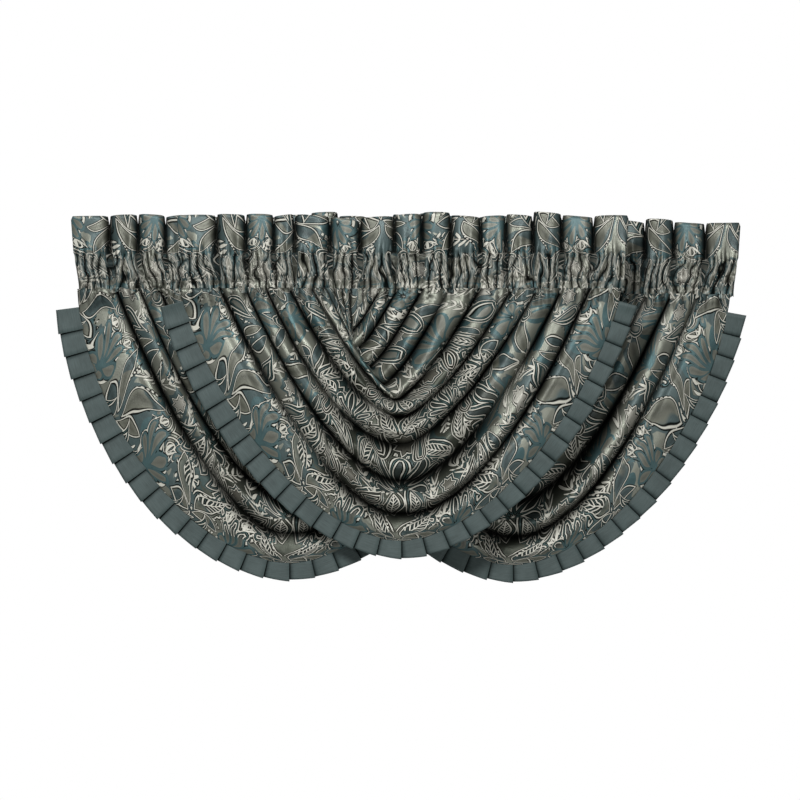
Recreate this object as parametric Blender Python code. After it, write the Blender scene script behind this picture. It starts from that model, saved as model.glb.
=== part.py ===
"""Three waterfall valances hung in overlapping layers: a front one, with one behind it on each side.

Each valance is a swagged panel, a heading with its rod pocket, and a knife-pleated edge.
Metres, +Z up. The valances face -Y, and the origin is on the front rod's axis, at mid width.
"""

import math
from collections import namedtuple

import bmesh
import bpy

# Cloth
CLOTH = 0.002
SEWING_GAP = 0.0009
SEAM_GAP = 0.0015

# Heading, measured from the rod's axis at z = 0
POCKET_TOP = 0.033
POCKET_BOTTOM = -0.052
POCKET_BULGE = 0.0178
GATHER_RIPPLE = 0.0022
TAB_BACK = 0.011
TAB_GAP = 0.006
ENDS_OF_HEADING = (-0.540, 0.549)

# Panel
SEAM_SHARE = 0.16
SEAM_FORWARD = 0.003
HEM_FORWARD = 0.004
BILLOW = 0.007
VALLEY_SHARE = 0.88
VALLEY_POWER = 2.4
SWELL_BY = 0.28
APEX_LOSS = 0.22
STEPS_PER_FOLD = 4
STEPS_ALONG = 16
HALF_WIDTH = 0.532
DROP = 0.608

# Pleated edge, with its width at even steps from the left end round to the right
PLEATS = 32
EDGE_WIDTHS = (0.056, 0.055, 0.041, 0.046, 0.042)
EDGE_TUCK = 0.006
PLEAT_RISE = 0.0040
PLEAT_FLARE = 0.0035
EDGE_BODY = 0.0018

Tab = namedtuple("Tab", "width forward top")
Fold = namedtuple("Fold", "left right apex drop bow_left bow_right forward")
Valance = namedtuple(
    "Valance", "name centre layer lower left right half drop square bow edge_start"
)

# The flutes of the heading, left to right: face width, how far it stands forward, its top edge.
TABS = (
    Tab(0.0945, 0.006, 0.126),
    Tab(0.0705, 0.012, 0.128),
    Tab(0.0680, 0.009, 0.129),
    Tab(0.0490, 0.005, 0.127),
    Tab(0.0865, 0.007, 0.126),
    Tab(0.0725, 0.012, 0.118),
    Tab(0.0830, 0.006, 0.122),
    Tab(0.0670, 0.008, 0.128),
    Tab(0.0690, 0.014, 0.134),
    Tab(0.0720, 0.007, 0.125),
    Tab(0.0610, 0.004, 0.125),
    Tab(0.0655, 0.008, 0.127),
    Tab(0.0695, 0.014, 0.132),
    Tab(0.0765, 0.007, 0.125),
    Tab(0.0845, 0.005, 0.125),
)

# The crests of the panel's folds, outermost first: where each leaves the seam on the left and on
# the right, its lowest point across and down, how bowed each branch is, and how far it stands out.
FOLDS = (
    Fold(-0.472, 0.492, 0.000, 0.578, 0.56, 0.56, 0.026),
    Fold(-0.399, 0.419, 0.000, 0.508, 0.61, 0.52, 0.044),
    Fold(-0.353, 0.358, 0.000, 0.419, 0.56, 0.66, 0.046),
    Fold(-0.298, 0.302, -0.002, 0.332, 0.52, 0.66, 0.047),
    Fold(-0.240, 0.235, -0.006, 0.283, 0.73, 0.70, 0.050),
    Fold(-0.191, 0.148, -0.024, 0.250, 0.82, 0.78, 0.042),
    Fold(-0.172, 0.087, -0.060, 0.208, 0.84, 0.82, 0.042),
    Fold(-0.154, 0.017, -0.094, 0.169, 0.84, 0.84, 0.036),
    Fold(-0.135, -0.032, -0.121, 0.126, 0.84, 0.84, 0.032),
    Fold(-0.114, -0.066, -0.112, 0.072, 0.84, 0.84, 0.022),
)
MIDDLE = Fold(-0.096, -0.088, -0.092, 0.004, 0.70, 0.70, 0.006)

VALANCES = (
    Valance("front", 0.0, 0.0, 0.0, -0.540, 0.549, 0.532, 0.608, 1.30, 0.56, 0.022),
    Valance("left", -0.271, 0.070, 0.0, -0.528, 0.540, 0.512, 0.663, 1.65, 0.56, 0.041),
    Valance("right", 0.271, 0.140, 0.012, -0.540, 0.554, 0.528, 0.657, 1.50, 0.56, 0.041),
)


def make_material(name, colour, roughness, metallic):
    material = bpy.data.materials.new(name)
    material.use_nodes = True
    shader = material.node_tree.nodes["Principled BSDF"]
    shader.inputs["Base Color"].default_value = (*colour, 1.0)
    shader.inputs["Roughness"].default_value = roughness
    shader.inputs["Metallic"].default_value = metallic
    return material


def smooth(t):
    """0 to 1 with level ends."""
    t = min(1.0, max(0.0, t))
    return t * t * (3 - 2 * t)


def mix(a, b, share):
    return a + (b - a) * share


def hem_of(valance):
    """The hem as an outermost fold, in the front valance's own measure."""
    return Fold(
        -HALF_WIDTH, HALF_WIDTH, 0.0, DROP, valance.bow, valance.bow, HEM_FORWARD
    )


def line_point(fold, across, square=1.0):
    """The point (x, down) of a fold's line, for across from -1 at the left seam to 1 at the right."""
    along = 1 - abs(across)
    fallen = along * (2 - along)
    top, bow = (fold.left, fold.bow_left) if across < 0 else (fold.right, fold.bow_right)
    out = max(0.0, 1 - fallen**square) ** bow
    return mix(fold.apex, top, out), fold.drop * fallen


def crest_height(outer, inner, share, first, last):
    """How far the cloth stands out between two crests, at full swell."""
    if first or last:
        return mix(outer.forward, inner.forward, smooth(share))
    dip = math.sin(math.pi * share) ** VALLEY_POWER
    return mix(outer.forward, inner.forward, share) * (1 - VALLEY_SHARE * dip)


def swell(along):
    """The share of its height that a fold has at this share of the way from seam to lowest point."""
    return mix(SEAM_SHARE, 1.0, smooth(along / SWELL_BY)) * (1 - APEX_LOSS * along**2)


def lines_of(valance):
    return (hem_of(valance), *FOLDS, MIDDLE)


def panel_point(valance, fold_at, across):
    """A point of the panel's mid surface, for fold_at from 0 at the hem to the number of gaps."""
    lines = lines_of(valance)
    gaps = len(lines) - 1
    i = min(int(fold_at), gaps - 1)
    share = fold_at - i
    outer, inner = lines[i], lines[i + 1]
    x0, down0 = line_point(outer, across, valance.square if i == 0 else 1.0)
    x1, down1 = line_point(inner, across)
    along = 1 - abs(across)
    height = crest_height(outer, inner, share, i == 0, i == gaps - 1)
    forward = SEAM_FORWARD + BILLOW * along + swell(along) * height
    return (
        valance.centre + mix(x0, x1, share) * valance.half / HALF_WIDTH,
        valance.layer - forward,
        POCKET_BOTTOM - SEAM_GAP - valance.lower
        - mix(down0, down1, share) * valance.drop / DROP,
    )


def seam_forward(valance, x):
    """How far the panel stands out at the seam, at x from the valance's centre."""
    lines = lines_of(valance)
    scaled = x * HALF_WIDTH / valance.half
    for i in range(len(lines) - 1):
        outer, inner = lines[i], lines[i + 1]
        for near, far in ((outer.left, inner.left), (outer.right, inner.right)):
            share = (scaled - near) / (far - near)
            if 0 <= share <= 1:
                height = crest_height(outer, inner, share, i == 0, i == len(lines) - 2)
                return SEAM_FORWARD + SEAM_SHARE * height
    return SEAM_FORWARD + SEAM_SHARE * HEM_FORWARD


def new_object(name, bm, material, smooth_angle):
    mesh = bpy.data.meshes.new(name)
    bmesh.ops.recalc_face_normals(bm, faces=bm.faces)
    bm.to_mesh(mesh)
    bm.free()
    mesh.shade_smooth()
    mesh.set_sharp_from_angle(angle=math.radians(smooth_angle))
    mesh.materials.append(material)
    obj = bpy.data.objects.new(name, mesh)
    bpy.context.scene.collection.objects.link(obj)
    return obj


def make_panel(valance, material):
    """The swagged panel: a grid laid along the folds, then thickened."""
    gaps = len(FOLDS) + 1
    rows = gaps * STEPS_PER_FOLD
    bm = bmesh.new()
    bmesh.ops.create_grid(bm, x_segments=STEPS_ALONG, y_segments=rows, size=1.0)
    for vert in bm.verts:
        vert.co = panel_point(valance, (1 - vert.co.y) / 2 * gaps, vert.co.x)
    panel = new_object(valance.name + "_panel", bm, material, 60)
    thickness = panel.modifiers.new("thickness", "SOLIDIFY")
    thickness.thickness = CLOTH
    thickness.offset = 0.0
    return panel


def tab_stations(valance):
    """(x, tab, face) along the heading: face is 1 on a flute's face and 0 in the gap behind."""
    spread = (valance.right - valance.left) / (ENDS_OF_HEADING[1] - ENDS_OF_HEADING[0])
    stations = []
    left = valance.left
    for i, tab in enumerate(TABS):
        width = tab.width * spread
        if i:
            stations.append((left, tab, 0.0))
        stations.append((left + (TAB_GAP if i else 0.0) / 2, tab, 1.0))
        stations.append((left + width / 2, tab, 1.25))
        left += width
        stations.append((left - (TAB_GAP if i < len(TABS) - 1 else 0.0) / 2, tab, 1.0))
    return stations


def heading_section(valance, x, tab, face):
    """The outer and inner rings (y, z) of the heading's section at x: header above, pocket below."""
    stand = mix(TAB_BACK, -tab.forward, face)
    ripple = GATHER_RIPPLE * (2 * min(face, 1.0) - 1)
    bulge = POCKET_BULGE + ripple
    low_bulge = bulge - 0.0012
    inner, low_inner = bulge - CLOTH, low_bulge - CLOTH
    foot = seam_forward(valance, x)
    middle = mix(POCKET_TOP, tab.top, 0.45)
    upper, lower = 0.013, -0.022
    roof, floor = POCKET_TOP - 0.006, POCKET_BOTTOM + 0.006
    outer_ring = (
        (stand - CLOTH, tab.top),
        (0.7 * stand - CLOTH, middle),
        (0.2 * stand - CLOTH - 0.001, POCKET_TOP),
        (-bulge, upper),
        (-low_bulge, lower),
        (-foot - CLOTH, POCKET_BOTTOM),
        (-foot + CLOTH, POCKET_BOTTOM),
        (low_bulge, lower),
        (bulge, upper),
        (0.2 * stand + CLOTH + 0.001, POCKET_TOP),
        (0.7 * stand + CLOTH, middle),
        (stand + CLOTH, tab.top),
    )
    inner_ring = (
        (0.2 * stand - 0.003, roof),
        (-inner, upper),
        (-low_inner, lower),
        (-foot, floor),
        (low_inner, lower),
        (inner, upper),
        (0.2 * stand + 0.003, roof),
    )
    return outer_ring, inner_ring


def skin(bm, rings):
    """A tube through rings of points. Returns the edges round its two ends."""
    loops = [[bm.verts.new(point) for point in ring] for ring in rings]
    sides = len(loops[0])
    for this, that in zip(loops, loops[1:]):
        for i in range(sides):
            j = (i + 1) % sides
            bm.faces.new((this[i], this[j], that[j], that[i]))
    return [
        [bm.edges.get((end[i], end[(i + 1) % sides])) for i in range(sides)]
        for end in (loops[0], loops[-1])
    ]


def make_heading(valance, material):
    """The fluted header over the rod pocket, one strip with the pocket open from end to end."""
    outer_rings, inner_rings = [], []
    for x, tab, face in tab_stations(valance):
        for rings, ring in zip(
            (outer_rings, inner_rings), heading_section(valance, x, tab, face)
        ):
            rings.append(
                [(valance.centre + x, valance.layer + y, z - valance.lower) for y, z in ring]
            )
    bm = bmesh.new()
    outer_ends = skin(bm, outer_rings)
    inner_ends = skin(bm, inner_rings)
    for outer_end, inner_end in zip(outer_ends, inner_ends):
        bmesh.ops.triangle_fill(bm, edges=outer_end + inner_end, use_beauty=True)
    return new_object(valance.name + "_heading", bm, material, 40)


def hem_walk(valance):
    """Evenly spaced points along the hem, with the way out of the cloth at each."""
    samples = [panel_point(valance, 0.0, -1 + 2 * i / 400) for i in range(401)]
    lowest_start = POCKET_BOTTOM - valance.lower - valance.edge_start
    run = [point for point in samples if point[2] <= lowest_start]
    reach = [0.0]
    for a, b in zip(run, run[1:]):
        reach.append(reach[-1] + math.hypot(b[0] - a[0], b[2] - a[2]))
    return run, reach


def hem_point(run, reach, distance):
    """(point, outward direction in x and z) at this distance along the hem."""
    i = 0
    while i < len(reach) - 2 and reach[i + 1] < distance:
        i += 1
    a, b = run[i], run[i + 1]
    step = reach[i + 1] - reach[i]
    share = min(1.0, (distance - reach[i]) / step)
    out = ((b[2] - a[2]) / step, -(b[0] - a[0]) / step)
    return [mix(a[k], b[k], share) for k in range(3)], out


def edge_width(share):
    """The pleated edge's width at this share of its run, from the left end round to the right."""
    at = share * (len(EDGE_WIDTHS) - 1)
    i = min(int(at), len(EDGE_WIDTHS) - 2)
    return mix(EDGE_WIDTHS[i], EDGE_WIDTHS[i + 1], smooth(at - i))


def make_pleated_edge(valance, material):
    """The knife-pleated edge: each pleat lies over the next and flares at its free end."""
    run, reach = hem_walk(valance)
    pitch = reach[-1] / PLEATS
    slit = 0.0006
    rings = []
    for pleat in range(PLEATS):
        for share in (0.0, 1.0):
            at = pleat * pitch + (slit if share == 0.0 else pitch)
            point, out = hem_point(run, reach, min(at, reach[-1]))
            rise = PLEAT_RISE * share
            length = edge_width(at / reach[-1]) + PLEAT_FLARE * share
            sewn = (point[0] - out[0] * EDGE_TUCK, point[2] - out[1] * EDGE_TUCK)
            free = (point[0] + out[0] * length, point[2] + out[1] * length)
            back = point[1] + CLOTH / 2 + SEWING_GAP + EDGE_BODY
            rings.append(
                (
                    (sewn[0], back - EDGE_BODY, sewn[1]),
                    (free[0], back - EDGE_BODY - rise, free[1]),
                    (free[0], back - 0.4 * rise, free[1]),
                    (sewn[0], back, sewn[1]),
                )
            )
    bm = bmesh.new()
    for end in skin(bm, rings):
        bmesh.ops.contextual_create(bm, geom=end)
    return new_object(valance.name + "_pleated_edge", bm, material, 30)


def main():
    for obj in list(bpy.data.objects):
        bpy.data.objects.remove(obj)
    jacquard = make_material("jacquard", (0.22, 0.23, 0.21), 0.45, 0.25)
    faille = make_material("slate_faille", (0.075, 0.115, 0.115), 0.7, 0.0)
    for valance in VALANCES:
        make_panel(valance, jacquard)
        make_heading(valance, jacquard)
        make_pleated_edge(valance, faille)


main()
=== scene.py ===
import math
import bmesh
import bpy
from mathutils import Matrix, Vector, noise


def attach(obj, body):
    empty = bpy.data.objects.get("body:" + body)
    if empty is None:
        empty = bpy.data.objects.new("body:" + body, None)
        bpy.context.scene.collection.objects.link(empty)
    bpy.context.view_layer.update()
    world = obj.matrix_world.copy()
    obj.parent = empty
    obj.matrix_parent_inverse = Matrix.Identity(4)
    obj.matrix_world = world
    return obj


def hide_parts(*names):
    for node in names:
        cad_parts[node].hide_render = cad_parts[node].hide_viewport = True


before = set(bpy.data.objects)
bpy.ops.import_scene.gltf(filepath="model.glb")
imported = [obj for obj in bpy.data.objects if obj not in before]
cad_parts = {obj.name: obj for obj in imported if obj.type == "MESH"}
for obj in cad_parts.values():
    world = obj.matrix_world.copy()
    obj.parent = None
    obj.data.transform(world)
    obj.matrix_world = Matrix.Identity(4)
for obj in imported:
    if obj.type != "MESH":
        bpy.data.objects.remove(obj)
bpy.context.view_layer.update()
print("frame loaded")

# The three valances: middle and depth of each rod, how far it hangs below the front one, the ends
# of its heading, half its hem, its drop, the roundness of its hem, and where its pleats begin.
valances = {
    "front": {"centre": 0.0, "layer": 0.0, "lower": 0.0, "ends": (-0.540, 0.549), "half": 0.532,
              "drop": 0.608, "square": 1.30, "bow": 0.56, "edgeStart": 0.022, "seed": 3.0},
    "left": {"centre": -0.271, "layer": 0.070, "lower": 0.0, "ends": (-0.528, 0.540), "half": 0.512,
             "drop": 0.663, "square": 1.65, "bow": 0.56, "edgeStart": 0.041, "seed": 17.0},
    "right": {"centre": 0.271, "layer": 0.140, "lower": 0.012, "ends": (-0.540, 0.554), "half": 0.528,
              "drop": 0.657, "square": 1.50, "bow": 0.56, "edgeStart": 0.041, "seed": 31.0},
}


def smooth(t):  # 0 to 1 with level ends
    t = min(1.0, max(0.0, t))
    return t * t * (3 - 2 * t)


def mix(a, b, share):
    return a + (b - a) * share


def wave(x, z, seed):  # soft noise from -1 to 1
    return noise.noise(Vector((x, z, seed)))


def linear(hexColour):  # sRGB hex to the linear colour that the shaders take
    parts = [int(hexColour[i:i + 2], 16) / 255 for i in (1, 3, 5)]
    return (*(c / 12.92 if c <= 0.04045 else ((c + 0.055) / 1.055) ** 2.4 for c in parts), 1.0)


def asSocket(value):  # a node stands for its first output
    return value.outputs[0] if isinstance(value, bpy.types.Node) else value


def addNode(tree, kind, *inputs, **settings):  # inputs in order, each a value, a node or a socket
    node = tree.nodes.new(kind)
    for name, value in settings.items():
        setattr(node, name, value)
    for socket, value in zip(node.inputs, inputs):
        value = asSocket(value)
        if isinstance(value, bpy.types.NodeSocket):
            tree.links.new(value, socket)
        elif value is not None:
            socket.default_value = value
    return node


def maths(tree, operation, *inputs):
    return addNode(tree, "ShaderNodeMath", *inputs, operation=operation)


def vectorMaths(tree, operation, *inputs):
    return addNode(tree, "ShaderNodeVectorMath", *inputs, operation=operation)


def remap(tree, value, fromLow, fromHigh, toLow, toHigh):
    return addNode(tree, "ShaderNodeMapRange", value, fromLow, fromHigh, toLow, toHigh)


def blend(tree, share, under, over):
    return addNode(tree, "ShaderNodeMixRGB", share, under, over)


def newMaterial(name):
    material = bpy.data.materials.new(name)
    material.use_nodes = True
    return material, material.node_tree, material.node_tree.nodes["Principled BSDF"]


def clothInMm(tree):  # the piece's own cloth coordinates, in mm
    uv = addNode(tree, "ShaderNodeUVMap", uv_map="cloth")
    return vectorMaths(tree, "SCALE", uv, None, None, 1000.0)


def addRelief(tree, shader, height, strength, distance):
    relief = addNode(tree, "ShaderNodeBump", strength, distance)
    tree.links.new(asSocket(height), relief.inputs["Height"])
    tree.links.new(relief.outputs[0], shader.inputs["Normal"])


# Polyester satin jacquard: a silvery ground of floating warp threads that shines where it faces
# the light and goes nearly black where it turns away, with duller teal, slate and cream figures.
jacquardSettings = {
    "repeat": (270.0, 350.0),   # mm of cloth, mirrored about its middle
    "filling": 1 / 58.0,        # small leaves of the filling to the mm
    "lineHalf": 1.15,           # mm: half the width of a cream outline
    "shadowHalf": 3.3,          # mm to the outside of the dark thread beside it
    "wander": 22.0,             # mm: how far the figures stray from their plan
    "thread": 1.3,              # mm: the weave's step, coarser than the real 0.3 mm so that it shows
    "ground": ("#878a7f", "#4d5148"),     # each colour in the light parts, then in the dark middle
    "halo": ("#4a5a5a", "#3d4f4d"),
    "spray": ("#4a6466", "#445d5a"),
    "within": ("#7e8075", "#3e4a47"),     # the middle of a shell's lobe
    "leaf": ("#74766a", "#435b58"),
    "drop": ("#486261", "#464b43"),
    "heart": ("#999b90", "#546b68"),
    "flower": ("#a2a197", "#6b6a60"),
    "shadow": "#0c0d0b",
    "line": "#cdccc0",
    "darkReach": 430.0,     # mm from the swag's middle to the edge of its dark part
    "darkHem": 30.0,        # mm from the hem to where the dark begins
    "darkTop": 560.0,       # mm from the hem to where it ends
    "shine": 0.65,
    "roughness": 0.40,
    "relief": (0.35, 0.0006),
    # The figures of one repeat: mm across and up from its middle, and for the first three a lean in
    # radians. A shell then has the angle between its lobes, their length and half width, a drop or
    # leaf its length, half width and how far its tip bends aside, a flower the angle between its
    # petals and its size, and the curl its pitch and size.
    "shells": ((0.0, -172.0, 0.0, 0.50, 116.0, 17.0), (135.0, 4.0, 0.0, 0.56, 74.0, 14.0),
               (60.0, 84.0, 0.8, 0.66, 50.0, 11.0)),
    "drops": ((36.0, -84.0, 0.35, 100.0, 24.0, -38.0), (104.0, 98.0, -0.95, 84.0, 21.0, 26.0)),
    "leaves": ((9.0, 14.0, 0.45, 98.0, 16.0, 30.0), (76.0, 20.0, -1.5, 68.0, 13.0, -22.0),
               (16.0, 98.0, 0.30, 70.0, 12.0, -22.0), (118.0, -122.0, -0.45, 98.0, 16.0, -30.0)),
    "flowers": ((0.0, -26.0, 0.785, 27.0), (135.0, 150.0, 0.9, 24.0)),
    "curl": (112.0, 74.0, 9.5, 27.0),
    "stem": (92.0, 20.0, 21.0),         # mm across to its middle, its sway and the step of its leaves
    "chain": (40.0, -26.0, 3.8, 1.1),   # the same, half the step of its beads, and a bead's radius
    "swayTurn": 0.0359,     # radians to the mm up, two waves to the repeat
    "rowLeaf": (18.0, 3.5, 5.0),        # the small leaves along stems: length, half width, bend
    "sprig": (15.0, 22.0),      # in the filling: the step of its leaves and its reach
    "eye": (8.5, 15.0, 17.0),   # in the filling: its curl's pitch and size, and its radius
    "eyesFrom": 0.62,       # by chance, from 0 to 1, a place in the filling holds a sprig or an eye
    "plainFrom": 0.55,      # or nothing
    "innerLine": 8.0,       # mm from an outline in to the second one
    "heartLine": 15.0,      # mm from a drop's outline in to its heart
    "echo": 9.0,            # mm from a figure out to the line that follows it
}


# Painted light and shade of the cloth's folds: the "fold" attribute is 1 deep in a crease, where painted shade
# darkens the colour, and below 0 on a crest, where a painted highlight lightens it.
foldSettings = {"crest": "#bdbbb0", "deep": "#060706", "sheen": 0.5, "dullFrom": 0.9, "plainSheen": 0.35}


def shadeFolds(tree, shader, colour, dull):  # painted shade deep in a fold, with the sheen turned down there, and a painted highlight on a crest
    fold = addNode(tree, "ShaderNodeAttribute", attribute_name="fold").outputs["Fac"]
    crest = remap(tree, fold, 0.0, -1.0, 0.0, 1.0)
    # the crest colour is a painted highlight, the deep colour painted shade
    highlighted = blend(tree, crest, colour, linear(foldSettings["crest"]))
    shaded = blend(tree, fold, highlighted, linear(foldSettings["deep"]))
    most = maths(tree, "MAXIMUM", fold, dull)
    sheen = remap(tree, most, 0.0, foldSettings["dullFrom"], foldSettings["sheen"], 0.0)
    tree.links.new(shaded.outputs[0], shader.inputs["Base Color"])
    tree.links.new(sheen.outputs[0], shader.inputs["Specular IOR Level"])
    # for a viewer that can't vary it
    shader.inputs["Specular IOR Level"].default_value = foldSettings["plainSheen"]


def newGroup(name, inputs, outputs):
    group = bpy.data.node_groups.new(name, "ShaderNodeTree")
    for label in inputs:
        kind = "NodeSocketVector" if label in ("Cloth", "Root") else "NodeSocketFloat"
        group.interface.new_socket(label, in_out="INPUT", socket_type=kind)
    for label in outputs:
        group.interface.new_socket(label, in_out="OUTPUT", socket_type="NodeSocketFloat")
    return group, group.nodes.new("NodeGroupInput").outputs, group.nodes.new("NodeGroupOutput").inputs


def giveOut(group, result, *values):
    for socket, value in zip(result, values):
        group.links.new(asSocket(value), socket)
    return group


def figurePlace():  # turns cloth coordinates into a figure's own, from its root and its lean
    group, given, result = newGroup("figurePlace", ("Cloth", "Root", "Lean"), ("Across", "Up", "Reach"))
    moved = vectorMaths(group, "SUBTRACT", given["Cloth"], given["Root"])
    turned = addNode(
        group, "ShaderNodeVectorRotate", moved, None, None, given["Lean"], rotation_type="Z_AXIS")
    parts = addNode(group, "ShaderNodeSeparateXYZ", turned)
    reach = vectorMaths(group, "LENGTH", turned)
    return giveOut(group, result, parts.outputs[0], parts.outputs[1], reach.outputs["Value"])


def pointedLeaf():  # distance outside a leaf pointed at both ends and bent to one side
    group, given, result = newGroup(
        "pointedLeaf", ("Across", "Up", "Length", "Half", "Bend"), ("Outside", "Rib", "Vein"))
    share = maths(group, "DIVIDE", given["Up"], given["Length"])
    rest = maths(group, "SUBTRACT", 1.0, share)
    lens = maths(group, "MULTIPLY", share, rest)
    width = maths(group, "MULTIPLY", lens, given["Half"])
    fullWidth = maths(group, "MULTIPLY", width, 4.0)
    square = maths(group, "MULTIPLY", share, share)
    bend = maths(group, "MULTIPLY", square, given["Bend"])
    aside = maths(group, "SUBTRACT", given["Across"], bend)
    off = maths(group, "ABSOLUTE", aside)
    outside = maths(group, "SUBTRACT", off, fullWidth)
    ribbed = maths(group, "MAXIMUM", off, outside)
    slanted = maths(group, "MULTIPLY_ADD", off, -1.1, given["Up"])
    nearest = maths(group, "WRAP", slanted, 5.5, -5.5)
    apart = maths(group, "ABSOLUTE", nearest)
    toVein = maths(group, "MULTIPLY", apart, 0.68)
    margin = maths(group, "ADD", outside, 3.0)
    veined = maths(group, "MAXIMUM", toVein, margin)
    return giveOut(group, result, outside, ribbed, veined)


def curledDrop():  # distance outside a drop that is round at its root and bent at its tip
    group, given, result = newGroup("curledDrop", ("Across", "Up", "Length", "Half", "Bend"), ("Outside",))
    share = maths(group, "DIVIDE", given["Up"], given["Length"])
    kept = maths(group, "MAXIMUM", share, 0.0)
    root = maths(group, "POWER", kept, 0.5)
    rest = maths(group, "SUBTRACT", 1.0, share)
    lens = maths(group, "MULTIPLY", root, rest)
    width = maths(group, "MULTIPLY", lens, given["Half"])
    fullWidth = maths(group, "MULTIPLY", width, 2.6)
    cube = maths(group, "POWER", kept, 3.0)
    bend = maths(group, "MULTIPLY", cube, given["Bend"])
    aside = maths(group, "SUBTRACT", given["Across"], bend)
    off = maths(group, "ABSOLUTE", aside)
    outside = maths(group, "SUBTRACT", off, fullWidth)
    below = maths(group, "MULTIPLY", given["Up"], -1.0)
    closed = maths(group, "MAXIMUM", outside, below)
    return giveOut(group, result, closed)


def rayFan():  # turns a figure's coordinates into those of the nearest ray round its root
    group, given, result = newGroup("rayFan", ("Across", "Up", "Reach", "Step"), ("Across", "Up", "Ray"))
    angle = maths(group, "ARCTAN2", given["Across"], given["Up"])
    half = maths(group, "MULTIPLY", given["Step"], 0.5)
    minus = maths(group, "MULTIPLY", half, -1.0)
    near = maths(group, "WRAP", angle, half, minus)
    ray = maths(group, "SUBTRACT", angle, near)
    sine = maths(group, "SINE", near)
    cosine = maths(group, "COSINE", near)
    across = maths(group, "MULTIPLY", sine, given["Reach"])
    up = maths(group, "MULTIPLY", cosine, given["Reach"])
    return giveOut(group, result, across, up, ray)


def scrollCurl():  # distance from the line of a curl that winds in to its eye
    group, given, result = newGroup("scrollCurl", ("Across", "Up", "Reach", "Pitch", "Size"), ("Line",))
    angle = maths(group, "ARCTAN2", given["Across"], given["Up"])
    turn = maths(group, "DIVIDE", angle, math.tau)
    rings = maths(group, "DIVIDE", given["Reach"], given["Pitch"])
    phase = maths(group, "ADD", rings, turn)
    near = maths(group, "WRAP", phase, 0.5, -0.5)
    off = maths(group, "ABSOLUTE", near)
    line = maths(group, "MULTIPLY", off, given["Pitch"])
    beyond = maths(group, "SUBTRACT", given["Reach"], given["Size"])
    kept = maths(group, "MAXIMUM", line, beyond)
    return giveOut(group, result, kept)


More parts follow.
